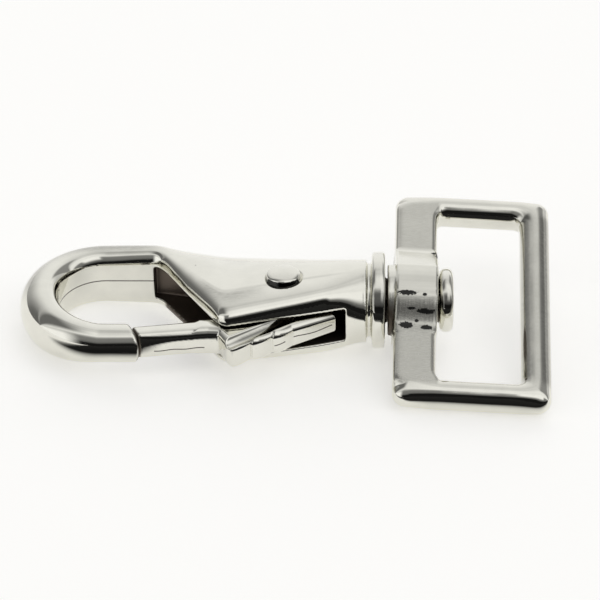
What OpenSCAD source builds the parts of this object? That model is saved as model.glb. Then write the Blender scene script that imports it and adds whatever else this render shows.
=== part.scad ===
// Swivel snap hook with a sprung trigger gate and a rectangular strap loop,
// lying on its side the way it comes to rest: on its lower rivet head, on the
// underside of the hook's bend and on one side bar of the tilted strap loop.

/* [Strap loop] */
// Width of strap that the loop takes
strap_w = 25.4; // [16:0.1:50]
// Clear length of the loop's opening along the swivel axis
strap_gap = 9.95; // [7:0.05:20]
// Width of the loop's two side bars
loop_side_w = 3.2; // [2.5:0.1:6]
// Width of the loop's outer end bar
loop_end_w = 3.6; // [2.5:0.1:7]
// Thickness of the loop's bars
loop_t = 3.8; // [3:0.1:6]
// Radius of the loop's outer corners
loop_corner_r = 1.6; // [0.8:0.1:2.4]
// Width of the bar that carries the swivel boss
boss_w = 5.1; // [3.5:0.1:8]
// Height of the boss over both of its flats
boss_h = 8.4; // [7.4:0.1:11]
// Width of the flat on top of the boss
boss_flat_w = 4.2; // [2:0.1:8]
// Length of the boss where its ramps meet the bar
boss_foot_w = 12.6; // [10:0.1:18]
// Length of the round spigot that the boss turns toward the collar
boss_spigot_l = 0.7; // [0.3:0.1:2]

/* [Swivel] */
// Diameter of the shank that the loop turns on
shank_d = 5.2; // [3:0.1:6]
// Radial running clearance between the shank and the loop's bore
swivel_clear = 0.06; // [0.02:0.01:0.1]
// End play of the loop on each side
swivel_play = 0.3; // [0.15:0.05:0.6]
// Diameter of the collar
collar_d = 11.5; // [10.6:0.1:12]
// Thickness of the collar
collar_w = 1.6; // [1:0.1:3]
// Diameter of the groove between the housing and the collar
groove_d = 8.8; // [6:0.1:9.4]
// Width of the groove
groove_w = 0.6; // [0.3:0.1:2]
// Diameter of the headed-over button
button_d = 7.6; // [6.4:0.1:9]
// Thickness of the button
button_w = 1.7; // [1.6:0.1:3]

/* [Hook] */
// Distance from the rivet to the outer end of the hook
hook_reach = 31.3; // [28:0.1:40]
// Distance from the rivet to the centre of the hook's bend
bend_x = 21.4; // [20:0.1:26]
// Clear width of the hook's eye across the swivel axis
eye_w = 12.3; // [10:0.1:14]
// Offset of the eye's centre from the swivel axis toward the gate side
eye_shift = 1.9; // [0.5:0.1:3]
// Width of the bend at the outer end of the hook
bend_w = 4.6; // [3:0.1:7]
// Width of the arm that joins the eye to the housing
arm_w = 4.6; // [3:0.1:6]
// Thickness of the arm and the bend
arm_t = 7; // [5:0.1:8]
// Width of the nose
nose_w = 3.6; // [2.5:0.1:5]
// Thickness of the nose
nose_t = 4.5; // [3.6:0.1:6]

/* [Housing] */
// Distance from the rivet to the end of the housing at the swivel
neck_x = 9.8; // [9:0.1:16]
// Diameter of the housing at that end
neck_d = 9.8; // [9.2:0.1:10.4]
// Distance from the rivet to the corner where the mouth meets the gate side
lip_x = 7.1; // [5:0.1:9]
// Distance from the swivel axis to that corner
lip_y = 9.5; // [8.6:0.1:10]
// Distance from the rivet to the inner corner of the mouth
mouth_x = 15; // [12.5:0.1:16.5]
// Width of the slot that the gate lever works in
slot_w = 4.8; // [3.6:0.1:5.4]
// Distance from the rivet to the closed end of the slot
slot_end_x = 7.3; // [6.6:0.1:8]
// Thickness of the spine behind the slot
spine_wall = 4.1; // [3:0.1:4.6]

/* [Gate] */
// Distance of the rivet from the swivel axis toward the gate side
pivot_y = 1.9; // [0.5:0.1:2.5]
// Diameter of the rivet's shank
rivet_d = 2.4; // [1.6:0.1:3]
// Diameter of the rivet's domed heads
rivet_head_d = 4.4; // [3.4:0.1:5.4]
// Height of the rivet's domed heads
rivet_head_h = 1; // [0.6:0.1:1.6]
// Radial running clearance between the rivet and the lever's bore
rivet_clear = 0.05; // [0.02:0.01:0.1]
// Distance from the rivet to the joint between gate and nose
gate_reach = 19.1; // [18.4:0.1:19.8]
// Width of the joint between gate and nose
gate_gap = 0.2; // [0.1:0.05:0.5]
// Width of the gate bar in the plane of the hook
gate_w = 2.6; // [2:0.1:3.4]
// Thickness of the gate bar at its tip
gate_t = 3.5; // [2.8:0.1:4.2]
// Clearance between the lever's hub and each wall of the slot
lever_clear = 0.2; // [0.1:0.05:0.4]
// Thickness of the lever's plate and trigger
plate_t = 3.4; // [2.8:0.1:4]
// Thickness of the lever at the end of its tail
tail_t = 2.8; // [2:0.1:4]
// Radius of the lever's hub
hub_r = 2.7; // [2.1:0.1:2.8]
// Distance of the trigger's bump from the swivel axis
bump_y = 12.5; // [11.8:0.1:13.5]
// Height of the trigger's ridges
ridge_h = 0.45; // [0.2:0.05:0.8]

/* [Spring] */
// Outer diameter of the coil
spring_d = 3.4; // [2.4:0.1:3.5]
// Diameter of the spring's wire
wire_d = 0.45; // [0.3:0.05:0.6]
// Number of turns
spring_turns = 6; // [4:0.5:9]
// Distance of the spring from the rivet toward the hook
spring_x = 5; // [4:0.1:6]
// Depth of the spring's pocket in the spine
pocket_depth = 1.2; // [0.6:0.1:1.6]

/* [Hidden] */

METAL = [0.78, 0.77, 0.74];
DARK_METAL = [0.6, 0.6, 0.58];
STEEL = [0.5, 0.5, 0.5];

round_fn = 64;
section_points = 24;
tiny = 0.05;

// Powers of the spine's taper in plan and of the taper in thickness
spine_power = 1.4;
taper_power = 0.8;

// Powers of the cross-section: its squarer side along the eye and slot, and its round side
wall_power = 3.2;
round_power = 2.1;

// Place of the thickest line across the section, counted from the eye side
bend_crest = 0.34;
nose_crest = 0.45;
housing_crest = 0.42;

// Hook outline
eye_r = eye_w / 2;
arm_in_y = eye_r - eye_shift;
arm_out_y = arm_in_y + arm_w;
nose_in_y = -eye_r - eye_shift;
nose_out_y = nose_in_y - nose_w;
bend_out_y = (arm_out_y + nose_out_y) / 2;
bend_out_ry = (arm_out_y - nose_out_y) / 2;
bend_out_rx = hook_reach - bend_x;
bend_in_rx = bend_out_rx - bend_w;
nose_stub = 1.5;
nose_end_x = -gate_reach * cos(asin((-nose_out_y - pivot_y) / gate_reach)) + nose_stub;
bend_steps = 18;
mouth_fillet = 1.2;
housing_steps = 28;
slot_start_x = -mouth_x - 0.6;
slot_ramp_x = -8;
slot_ramp = 0.15;

// Rivet seats and the pose at rest
seat_depth = 0.1;
seat_z = half_t(0) - seat_depth;
rest_drop = seat_z + rivet_head_h;
bend_crest_x = -hook_reach + bend_w * (1 - bend_crest);
lie_pitch = atan((rest_drop - arm_t / 2) / -bend_crest_x);
rest_h = rest_drop * cos(lie_pitch);

// Swivel stations along the axis, measured from the rivet
collar_x = neck_x + groove_w;
shank_x = collar_x + collar_w;
boss_x = shank_x + swivel_play + boss_spigot_l;
swivel_x = boss_x + boss_w / 2;
button_x = boss_x + boss_w + swivel_play;
swivel_h = rest_h + swivel_x * sin(lie_pitch);
collar_rim_r = 0.4;
button_rim_r = 0.75;
rim_steps = 4;

// Strap loop, measured from the middle of its boss
loop_half_w = strap_w / 2 + loop_side_w;
loop_out_x = boss_w / 2 + strap_gap + loop_end_w;
side_bar_y = strap_w / 2 + loop_side_w / 2;
bar_power = 2.1;
boss_bar_power = 7;
loop_inner_r = 0.8;
corner_steps = 4;
loop_tilt = tilt_after(8);

// Shift that puts the middle of the whole part over the origin
part_low_x = -hook_reach * cos(lie_pitch);
part_high_x = swivel_x * cos(lie_pitch) + loop_out_x;
shift_x = -(part_low_x + part_high_x) / 2;

// Gate lever
hub_half_t = slot_w / 2 - lever_clear;
tip_y = (nose_in_y + nose_out_y) / 2;
bar_end_x = -8.6;
bar_end_y = -8.1;
bump_x = -5.9;
ridge_w = 2.4;
ridge_steps = 5;
bump_round = 0.9;
bump_rise = 1.5;
bar_dip = 0.2;
tail_x = slot_end_x - 1.1;
tail_depth = 3;
heel_l = 2;
heel_relief = 0.4;
heel_x = 5.2;
heel_gap = 0.06;
tail_recess = 0.3;
pad_half = 2;
scoop = 1.1;
pad_y = -4.6;
peg_h = 1.3;
peg_clear = 0.15;
gate_power = 3.2;

// Half thickness of the hook and housing at a place along the axis
function half_t(x) = neck_d / 2 - (neck_d - arm_t) / 2 * pow(from_neck(x), taper_power);
function from_neck(x) = min(1, max(0, (neck_x - x) / (neck_x + bend_x)));

// Far edge of the housing, which runs on into the hook's arm
function spine_y(x) = arm_out_y - (arm_out_y - neck_d / 2) * pow(1 - from_neck(x), spine_power);

// Gate-side edge of the housing: mouth fillet, slanted mouth, then the slotted face
function mouth_y(x) = arm_in_y - (x + mouth_x) * (arm_in_y + lip_y) / (mouth_x - lip_x);
function face_y(x) = -lip_y + (x + lip_x) * (lip_y - neck_d / 2) / (slot_end_x + lip_x);
function edge_y(x) = min(arm_in_y, max(mouth_y(x), min(-neck_d / 2, face_y(x))));
function rounded_edge_y(x) = (edge_y(x - mouth_fillet) + edge_y(x) + edge_y(x + mouth_fillet)) / 3;
function slot_floor_y(x) = spine_y(x) - spine_wall + slot_ramp * max(0, slot_ramp_x - x);

// Point of a flattened ellipse, with its own power on each side
function soft(c, power) = sign(c) * pow(abs(c), 2 / power);

// Ring of points across a bar from its inner to its outer plan point, thickest at its crest
function ring(inner, outer, half, in_power, out_power, crest = 0.5) =
    [for (i = [0 : section_points - 1])
        let (a = 360 * i / section_points,
             power = cos(a) < 0 ? in_power : out_power,
             u = crest + (cos(a) < 0 ? crest : 1 - crest) * soft(cos(a), power))
        [inner.x + (outer.x - inner.x) * u,
         inner.y + (outer.y - inner.y) * u,
         half * soft(sin(a), power)]];

function bend_ring(a) =
    let (inner = [-bend_x + bend_in_rx * cos(a), -eye_shift + eye_r * sin(a)],
         outer = [-bend_x + bend_out_rx * cos(a), bend_out_y + bend_out_ry * sin(a)],
         to_nose = pow(max(0, (a - 180) / 90), 1.4))
    ring(inner, outer, arm_t / 2 + (nose_t - arm_t) / 2 * to_nose,
         wall_power, round_power, bend_crest + (nose_crest - bend_crest) * to_nose);

function housing_ring(x) =
    let (at_neck = pow(max(0, 1 - (neck_x - x) / 5), 1.5),
         at_arm = max(0, min(1, (-x - mouth_x + 5) / 5)),
         in_power = wall_power + (2 - wall_power) * at_neck,
         out_power = round_power + (2 - round_power) * at_neck,
         crest = housing_crest + (0.5 - housing_crest) * at_neck
             + (bend_crest - housing_crest) * at_arm)
    ring([x, rounded_edge_y(x)], [x, spine_y(x)], half_t(x), in_power, out_power, crest);

// Rings of the whole casting from the swivel end round the hook to the nose
hook_rings = concat(
    [for (i = [0 : housing_steps - 1]) housing_ring(neck_x - (neck_x + bend_x) * i / housing_steps)],
    [for (i = [0 : bend_steps]) bend_ring(90 + 180 * i / bend_steps)],
    [ring([nose_end_x, nose_in_y], [nose_end_x, nose_out_y], nose_t / 2, wall_power, round_power, nose_crest)]);

// Lowest reach of the loop's side bar below its middle when the loop is tilted
function bar_reach(tilt) =
    let (q = bar_power / (bar_power - 1))
    pow(pow(loop_side_w / 2 * sin(tilt), q) + pow(loop_t / 2 * cos(tilt), q), 1 / q);
function tilt_after(n) = n == 0 ? 10 : asin((swivel_h - bar_reach(tilt_after(n - 1))) / side_bar_y);

// Ring across the loop's frame at corner number c, turned by angle a
function loop_ring(c, a) =
    let (sx = c == 0 || c == 3 ? 1 : -1,
         sy = c < 2 ? 1 : -1,
         in_x = sx > 0 ? boss_w / 2 + strap_gap : boss_w / 2,
         out_x = sx > 0 ? loop_out_x : -boss_w / 2,
         inner = [in_x - sx * loop_inner_r + loop_inner_r * cos(a),
                  sy * (strap_w / 2 - loop_inner_r) + loop_inner_r * sin(a)],
         outer = [out_x - sx * loop_corner_r + loop_corner_r * cos(a),
                  sy * (loop_half_w - loop_corner_r) + loop_corner_r * sin(a)],
         on_boss = sx > 0 ? 0 : pow(abs(cos(a)), 3),
         power = bar_power + (boss_bar_power - bar_power) * on_boss)
    ring(inner, outer, loop_t / 2, power, power);

loop_rings = [for (c = [0 : 3], i = [0 : corner_steps]) loop_ring(c, 90 * c + 90 * i / corner_steps)];

// Trigger outline on the gate side, from the bump to the tail
tail_y = face_y(tail_x) + tail_recess;
function trigger_y(x) = -bump_y + (x - bump_x) * (bump_y + tail_y) / (tail_x - bump_x);
trigger_edge = [for (r = [0 : 2], i = [0 : ridge_steps])
    let (x = bump_x + ridge_w * (r + i / ridge_steps) + tiny * (i == 0 ? 1 : 0))
    [x, trigger_y(x) - ridge_h * sin(180 * (0.15 + 0.85 * i / ridge_steps))]];

// Skin over a row of rings, closed by end caps or into a loop
module skin(rings, is_loop = false) {
    n = len(rings[0]);
    m = len(rings);
    last = is_loop ? m - 1 : m - 2;
    sides = [for (r = [0 : last], i = [0 : n - 1])
        let (r2 = (r + 1) % m, j = (i + 1) % n)
        each [[r * n + i, r * n + j, r2 * n + j], [r * n + i, r2 * n + j, r2 * n + i]]];
    caps = is_loop ? [] : [[for (i = [n - 1 : -1 : 0]) i], [for (i = [0 : n - 1]) (m - 1) * n + i]];
    polyhedron(points = [for (r = rings) each r], faces = concat(sides, caps));
}

// Places a piece of the hook as it lies at rest
module lie() {
    translate([shift_x, 0, rest_h])
        rotate([0, -lie_pitch, 0])
            children();
}

// Turns a profile drawn as radius and distance about the swivel axis
module about_axis() {
    rotate([0, 90, 0])
        rotate_extrude($fn = round_fn)
            children();
}

// Dome with a flat base on its own axis
module dome(d, h) {
    arc_r = (d * d / 4 + h * h) / (2 * h);
    arc_a = asin(d / 2 / arc_r);
    rotate_extrude($fn = round_fn)
        polygon(concat([[0, 0]], [for (i = [0 : 6])
            let (a = arc_a * (1 - i / 6))
            [arc_r * sin(a), h - arc_r * (1 - cos(a))]]));
}

// Profile of a disc about the swivel axis with both rims rounded
module disc_profile(r, low, high, round_r) {
    polygon(concat(
        [[0, low]],
        [for (i = [0 : rim_steps])
            let (a = 90 * i / rim_steps)
            [r - round_r + round_r * sin(a), low + round_r - round_r * cos(a)]],
        [for (i = [0 : rim_steps])
            let (a = 90 * i / rim_steps)
            [r - round_r + round_r * cos(a), high - round_r + round_r * sin(a)]],
        [[0, high]]));
}

// Profile of the plain round core from inside the housing to the button
module core_profile() {
    core_start_x = neck_x - 2;
    polygon([[0, core_start_x], [groove_d / 2, core_start_x], [groove_d / 2, collar_x + tiny],
             [shank_d / 2, collar_x + tiny], [shank_d / 2, button_x + tiny], [0, button_x + tiny]]);
}

module swivel() {
    about_axis() core_profile();
    about_axis() disc_profile(collar_d / 2, collar_x, shank_x, collar_rim_r);
    about_axis() disc_profile(button_d / 2, button_x, button_x + button_w, button_rim_r);
}

module slot() {
    steps = 9;
    translate([0, 0, -slot_w / 2])
        linear_extrude(slot_w)
            polygon(concat(
                [for (i = [0 : steps])
                    let (x = slot_start_x + (slot_end_x - slot_start_x) * i / steps)
                    [x, slot_floor_y(x)]],
                [[slot_end_x, -bump_y], [slot_start_x, -bump_y]]));
}

module spring_pocket() {
    translate([-spring_x, slot_floor_y(-spring_x) + pocket_depth, 0])
        rotate([90, 0, 0])
            cylinder(d = spring_d + 0.3, h = pocket_depth * 2, $fn = round_fn);
}

// Space that the gate's tip sweeps past the end of the nose
module nose_joint(reach) {
    intersection() {
        translate([0, -pivot_y, -neck_d])
            cylinder(r = reach, h = 2 * neck_d, $fn = 4 * round_fn);
        translate([-gate_reach, nose_out_y - 2, -nose_t])
            cube([gate_reach + nose_end_x + 2, nose_w + 4, 2 * nose_t]);
    }
}

module rivet_hole(d) {
    translate([0, -pivot_y, -neck_d])
        cylinder(d = d, h = 2 * neck_d, $fn = round_fn);
}

module rivet_seats() {
    for (side = [0, 1])
        mirror([0, 0, side])
            translate([0, -pivot_y, seat_z])
                cylinder(d = rivet_head_d + 0.1, h = neck_d, $fn = round_fn);
}

module hook_body() {
    color(METAL)
        lie()
            difference() {
                union() {
                    skin(hook_rings);
                    swivel();
                }
                slot();
                spring_pocket();
                nose_joint(gate_reach);
                rivet_hole(rivet_d);
                rivet_seats();
            }
}

module gate_rivet() {
    color(DARK_METAL)
        lie()
            translate([0, -pivot_y, 0]) {
                translate([0, 0, -seat_z])
                    cylinder(d = rivet_d, h = 2 * seat_z, $fn = round_fn);
                for (side = [0, 1])
                    mirror([0, 0, side])
                        translate([0, 0, seat_z])
                            dome(rivet_head_d, rivet_head_h);
            }
}

// Gate bar as rings from its tip to the lever's plate
module gate_bar() {
    tip_x = -gate_reach - 0.5;
    over = 1.2;
    root_w = gate_w + 0.3;
    skin([for (end = [[tip_x, tip_y, gate_w, gate_t / 2],
                      [bar_end_x, bar_end_y, root_w, plate_t / 2],
                      [bar_end_x + over, bar_end_y, root_w, plate_t / 2]])
        ring([end[0], end[1] + end[2] / 2], [end[0], end[1] - end[2] / 2], end[3], gate_power, gate_power)]);
}

module lever_outline() {
    polygon(concat(
        [[bar_end_x, bar_end_y - gate_w / 2],
         [bar_end_x + scoop, bar_end_y - gate_w / 2 - bar_dip],
         [bump_x - bump_round, -bump_y + bump_rise],
         [bump_x - bump_round / 2, -bump_y + bump_rise / 4]],
        trigger_edge,
        [[tail_x, tail_y], [tail_x, tail_y + tail_depth], [heel_x, slot_floor_y(heel_x) - heel_gap],
         [heel_x - heel_l, slot_floor_y(heel_x) - heel_gap - heel_relief],
         [hub_r * 0.6, -pivot_y + hub_r * 0.8], [-hub_r * 0.7, -pivot_y + hub_r * 0.7],
         [-spring_x + pad_half, pad_y], [-spring_x - pad_half, pad_y],
         [bar_end_x, bar_end_y + gate_w / 2]]));
    translate([0, -pivot_y])
        circle(r = hub_r, $fn = round_fn);
}

// Side view of the lever's plate, which thins toward its tail
module lever_side() {
    rotate([90, 0, 0])
        linear_extrude(4 * bump_y, center = true)
            polygon([[bar_end_x - 1, plate_t / 2], [bump_x, plate_t / 2], [tail_x + 1, tail_t / 2],
                     [tail_x + 1, -tail_t / 2], [bump_x, -plate_t / 2], [bar_end_x - 1, -plate_t / 2]]);
}

module gate_lever() {
    color(METAL)
        lie()
            difference() {
                union() {
                    intersection() {
                        gate_bar();
                        translate([0, -pivot_y, -neck_d])
                            cylinder(r = gate_reach - gate_gap, h = 2 * neck_d, $fn = 4 * round_fn);
                    }
                    intersection() {
                        translate([0, 0, -neck_d / 2])
                            linear_extrude(neck_d)
                                lever_outline();
                        lever_side();
                    }
                    translate([0, -pivot_y, -hub_half_t])
                        cylinder(r = hub_r, h = 2 * hub_half_t, $fn = round_fn);
                    translate([-spring_x, pad_y + peg_h, 0])
                        rotate([90, 0, 0])
                            cylinder(d = spring_d - 2 * wire_d - 2 * peg_clear, h = peg_h + 1, $fn = round_fn);
                }
                rivet_hole(rivet_d + 2 * rivet_clear);
            }
}

// Compression coil between the pocket in the spine and the lever's pad
module gate_spring() {
    wire_points = 8;
    coil_steps = 14;
    end_gap = 0.04;
    low_y = pad_y + end_gap + wire_d / 2;
    high_y = slot_floor_y(-spring_x) + pocket_depth - end_gap - wire_d / 2;
    coil_r = (spring_d - wire_d) / 2;
    steps = round(spring_turns * coil_steps);
    color(STEEL)
        lie()
            translate([-spring_x, 0, 0])
                skin([for (i = [0 : steps])
                    let (a = 360 * i / coil_steps,
                         y = low_y + (high_y - low_y) * i / steps)
                    [for (j = [0 : wire_points - 1])
                        let (b = 360 * j / wire_points,
                             r = coil_r + wire_d / 2 * cos(b))
                        [r * cos(a), y - wire_d / 2 * sin(b), r * sin(a)]]]);
}

module boss_outline() {
    half_bar = loop_t / 2 - tiny;
    polygon([[-boss_foot_w / 2, half_bar], [-boss_flat_w / 2, boss_h / 2],
             [boss_flat_w / 2, boss_h / 2], [boss_foot_w / 2, half_bar],
             [boss_foot_w / 2, -half_bar], [boss_flat_w / 2, -boss_h / 2],
             [-boss_flat_w / 2, -boss_h / 2], [-boss_foot_w / 2, -half_bar]]);
}

module strap_loop() {
    spigot_over = 1;
    bore_d = shank_d + 2 * swivel_clear;
    color(METAL)
        translate([shift_x + swivel_x * cos(lie_pitch), 0, swivel_h])
            difference() {
                union() {
                    rotate([loop_tilt, 0, 0]) {
                        skin(loop_rings, is_loop = true);
                        rotate([90, 0, 90])
                            translate([0, 0, -boss_w / 2])
                                linear_extrude(boss_w)
                                    boss_outline();
                    }
                    rotate([0, 90 - lie_pitch, 0])
                        translate([0, 0, -boss_w / 2 - boss_spigot_l])
                            cylinder(d = boss_h, h = boss_spigot_l + spigot_over, $fn = round_fn);
                }
                rotate([0, 90 - lie_pitch, 0])
                    translate([0, 0, -boss_w])
                        cylinder(d = bore_d, h = 2 * boss_w, $fn = round_fn);
            }
}

hook_body();
gate_lever();
gate_rivet();
gate_spring();
strap_loop();
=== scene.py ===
import math
import bpy
import numpy as np
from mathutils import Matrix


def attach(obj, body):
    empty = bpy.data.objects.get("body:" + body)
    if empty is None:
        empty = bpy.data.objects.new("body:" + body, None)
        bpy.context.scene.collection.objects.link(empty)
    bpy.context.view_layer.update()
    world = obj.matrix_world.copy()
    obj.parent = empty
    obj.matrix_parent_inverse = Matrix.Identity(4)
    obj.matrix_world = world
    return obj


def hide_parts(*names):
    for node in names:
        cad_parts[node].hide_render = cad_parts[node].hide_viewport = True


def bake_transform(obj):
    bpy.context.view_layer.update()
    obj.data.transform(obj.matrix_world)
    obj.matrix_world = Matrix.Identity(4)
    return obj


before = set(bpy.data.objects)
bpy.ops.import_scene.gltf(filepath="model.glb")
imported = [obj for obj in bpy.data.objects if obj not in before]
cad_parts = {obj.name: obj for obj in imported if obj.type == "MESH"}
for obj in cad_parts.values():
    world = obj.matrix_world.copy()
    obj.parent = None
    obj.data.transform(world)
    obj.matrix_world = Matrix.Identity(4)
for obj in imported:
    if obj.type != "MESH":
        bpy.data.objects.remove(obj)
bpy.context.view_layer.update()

import openvdb
from mathutils import Matrix, Vector

# ---------------------------------------------------------------- dimensions, as in the source, in mm
strap_w, strap_gap, loop_side_w, loop_end_w, loop_t = 25.4, 9.95, 3.2, 3.6, 3.8
loop_corner_r, loop_inner_r = 1.6, 0.8
boss_w, boss_h, boss_flat_w, boss_foot_w, boss_spigot_l = 5.1, 8.4, 4.2, 12.6, 0.7
shank_d, swivel_clear, swivel_play = 5.2, 0.06, 0.3
collar_d, collar_w, groove_d, groove_w, button_d, button_w = 11.5, 1.6, 8.8, 0.6, 7.6, 1.7
hook_reach, bend_x, eye_w, eye_shift, bend_w, arm_w, arm_t = 31.3, 21.4, 12.3, 1.9, 4.6, 4.6, 7.0
nose_w, nose_t = 3.6, 4.5
neck_x, neck_d, lip_x, lip_y, mouth_x = 9.8, 9.8, 7.1, 9.5, 15.0
slot_w, slot_end_x, spine_wall = 4.8, 7.3, 4.1
pivot_y, rivet_d, rivet_head_d, rivet_head_h, rivet_clear = 1.9, 2.4, 4.4, 1.0, 0.05
gate_reach, gate_gap, gate_w, gate_t, lever_clear, plate_t, tail_t = 19.1, 0.2, 2.6, 3.5, 0.2, 3.4, 2.8
hub_r, bump_y, ridge_h = 2.7, 12.5, 0.45
spring_d, wire_d, spring_turns, spring_x, pocket_depth = 3.4, 0.45, 6.0, 5.0, 1.2

spine_power, taper_power, near_swell, slot_lip = 1.4, 0.8, 0.45, 0.5
wall_power, round_power = 3.2, 2.1
bend_crest, nose_crest, housing_crest = 0.34, 0.45, 0.42
slot_start_x, slot_ramp_x, slot_ramp = -mouth_x - 0.6, -8.0, 0.15
facet_angle = 15                    # degrees above level that the narrow flats on near edges face
tip_ease = 0.1                      # extra room at the gate's tip, beyond gate_gap
eye_r = eye_w / 2
arm_in_y = eye_r - eye_shift
arm_out_y = arm_in_y + arm_w
nose_in_y = -eye_r - eye_shift
nose_out_y = nose_in_y - nose_w
bend_out_y = (arm_out_y + nose_out_y) / 2
bend_out_ry = (arm_out_y - nose_out_y) / 2
bend_out_rx = hook_reach - bend_x
bend_in_rx = bend_out_rx - bend_w
mouth_fillet = 1.2
nose_end_x = -gate_reach * math.cos(math.asin((-nose_out_y - pivot_y) / gate_reach)) + 1.5
half_0 = neck_d / 2 - (neck_d - arm_t) / 2 * (neck_x / (neck_x + bend_x)) ** taper_power
seat_z = half_0 - 0.1
rest_drop = seat_z + rivet_head_h
lie_pitch = math.atan((rest_drop - arm_t / 2) / (hook_reach - bend_w * (1 - bend_crest)))
rest_h = rest_drop * math.cos(lie_pitch)
collar_x = neck_x + groove_w
shank_x = collar_x + collar_w
boss_x = shank_x + swivel_play + boss_spigot_l
swivel_x = boss_x + boss_w / 2
button_x = boss_x + boss_w + swivel_play
swivel_h = rest_h + swivel_x * math.sin(lie_pitch)
loop_half_w = strap_w / 2 + loop_side_w
loop_out_x = boss_w / 2 + strap_gap + loop_end_w
side_bar_y = strap_w / 2 + loop_side_w / 2
bar_power, boss_bar_power = 2.1, 7.0
hub_half_t = slot_w / 2 - lever_clear
tip_y = (nose_in_y + nose_out_y) / 2
bar_end_x, bar_end_y, bump_x, ridge_w, heel_x = -8.6, -8.1, -5.9, 2.4, 5.2
tail_x = slot_end_x - 1.1
heel_gap, tail_recess, pad_half, scoop, pad_y, peg_h, peg_clear = 0.06, 0.3, 2.0, 1.1, -4.6, 1.3, 0.15


def bar_reach(t):
    """How far below its middle the loop's near bar reaches when the loop is tilted by t."""
    q = bar_power / (bar_power - 1)
    return ((loop_side_w / 2 * math.sin(t)) ** q + (loop_t / 2 * math.cos(t)) ** q) ** (1 / q)


loop_tilt = math.radians(10)
for _ in range(8):
    loop_tilt = math.asin((swivel_h - bar_reach(loop_tilt)) / side_bar_y)
shift_x = -(-hook_reach * math.cos(lie_pitch) + swivel_x * math.cos(lie_pitch) + loop_out_x) / 2

MM = 0.001
BODY_TO_WORLD = Matrix.Translation((shift_x, 0, rest_h)) @ Matrix.Rotation(-lie_pitch, 4, "Y")
LOOP_TO_WORLD = (Matrix.Translation((shift_x + swivel_x * math.cos(lie_pitch), 0, swivel_h))
                 @ Matrix.Rotation(loop_tilt, 4, "X"))


# ---------------------------------------------------------------- distance fields
def rmin(a, b, r):
    """Union of two fields with a fillet of radius r."""
    u = np.maximum(r - a, 0)
    v = np.maximum(r - b, 0)
    return np.maximum(r, np.minimum(a, b)) - np.sqrt(u * u + v * v)


def rmax(a, b, r):
    """Intersection of two fields with a rounded edge of radius r."""
    return -rmin(-a, -b, r)


def smoothstep(t):
    """0 below 0, 1 above 1 and a smooth rise between."""
    t = np.clip(t, 0, 1)
    return t * t * (3 - 2 * t)


def coordinates(lo, hi, h):
    """The axes of a grid of cells h, with a margin of three, and x, y, z in space and x, y in plan on them."""
    ax = [np.arange(a - 3 * h, b + 4 * h, h, dtype=np.float32) for a, b in zip(lo, hi)]
    x2, y2 = np.meshgrid(ax[0], ax[1], indexing="ij")
    return ax, ax[0][:, None, None], ax[1][None, :, None], ax[2][None, None, :], x2, y2


def normalised(g, h):
    """A field with a zero surface turned into distance near that surface."""
    gx, gy, gz = np.gradient(g, h)
    s = np.sqrt(gx * gx + gy * gy + gz * gz)
    return np.clip(g / np.maximum(s, 0.02), -3, 3).astype(np.float32)


def on_grid(*fields):
    """Plan fields given a third axis, to be met with heights."""
    return [f[:, :, None] for f in fields]


def section(u, w, p_in, p_out, crest=0.5, flat=1.0):
    """Flattened ellipse across a bar, thickest at its crest, with a flat inner wall: negative inside."""
    u = u + 1 - 2 * crest
    u = np.where(u < 0, u / (2 * crest), u / (2 - 2 * crest))
    p = np.where(u < 0, p_in, p_out)
    curved = (np.abs(np.where(u < 0, u * flat, u)) ** p + np.abs(w) ** p) ** (1 / p) - 1
    return np.maximum(curved, -u - 1)


def facet(s, w, p, width, height, angle, depth):
    """Depth of a point outside a flat that trims a section where its surface faces a given angle up."""
    a, b, q = width * math.cos(math.radians(angle)), height * math.sin(math.radians(angle)), p / (p - 1)
    return a * s + b * w - (a ** q + b ** q) ** (1 / q) + depth


def polygon_distance(px, py, pts):
    """Signed distance in the plane to a closed polygon, negative inside."""
    best = np.full(px.shape, 1e9, np.float32)
    inside = np.zeros(px.shape, bool)
    n = len(pts)
    for i in range(n):
        ax, ay = pts[i]
        bx, by = pts[(i + 1) % n]
        ex, ey = bx - ax, by - ay
        wx, wy = px - ax, py - ay
        t = np.clip((wx * ex + wy * ey) / max(ex * ex + ey * ey, 1e-9), 0, 1)
        best = np.minimum(best, (wx - ex * t) ** 2 + (wy - ey * t) ** 2)
        cross = (ay > py) != (by > py)
        side = px < (bx - ax) * (py - ay) / ((by - ay) if by != ay else 1e-9) + ax
        inside ^= cross & side
    best = np.sqrt(best)
    return np.where(inside, -best, best)


def box_distance(x, y, cx, cy, hx, hy, r):
    """Signed distance in the plane to a rounded rectangle about (cx, cy)."""
    qx = np.abs(x - cx) - hx + r
    qy = np.abs(y - cy) - hy + r
    return np.sqrt(np.maximum(qx, 0) ** 2 + np.maximum(qy, 0) ** 2) + np.minimum(np.maximum(qx, qy), 0) - r


def disc(r_field, x, x0, x1, radius, edge):
    """Round disc about the swivel axis with softened edges."""
    return rmax(r_field - radius, np.abs(x - (x0 + x1) / 2) - (x1 - x0) / 2, edge)


def sample(field, p):
    """Values of a field between its grid points, p in cells."""
    i = np.clip(np.floor(p).astype(int), 0, np.array(field.shape) - 2)
    t = p - i
    out = 0
    for corner in range(8):
        o = np.array([corner & 1, (corner >> 1) & 1, (corner >> 2) & 1])
        w = np.prod(np.where(o, t, 1 - t), axis=1)
        out = out + w * field[i[:, 0] + o[0], i[:, 1] + o[1], i[:, 2] + o[2]]
    return out


def placed(points, to_world):
    """Points in a body's millimetres put into the world's metres."""
    m = np.array(to_world)
    return (points @ m[:3, :3].T + m[:3, 3]) * MM


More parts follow.
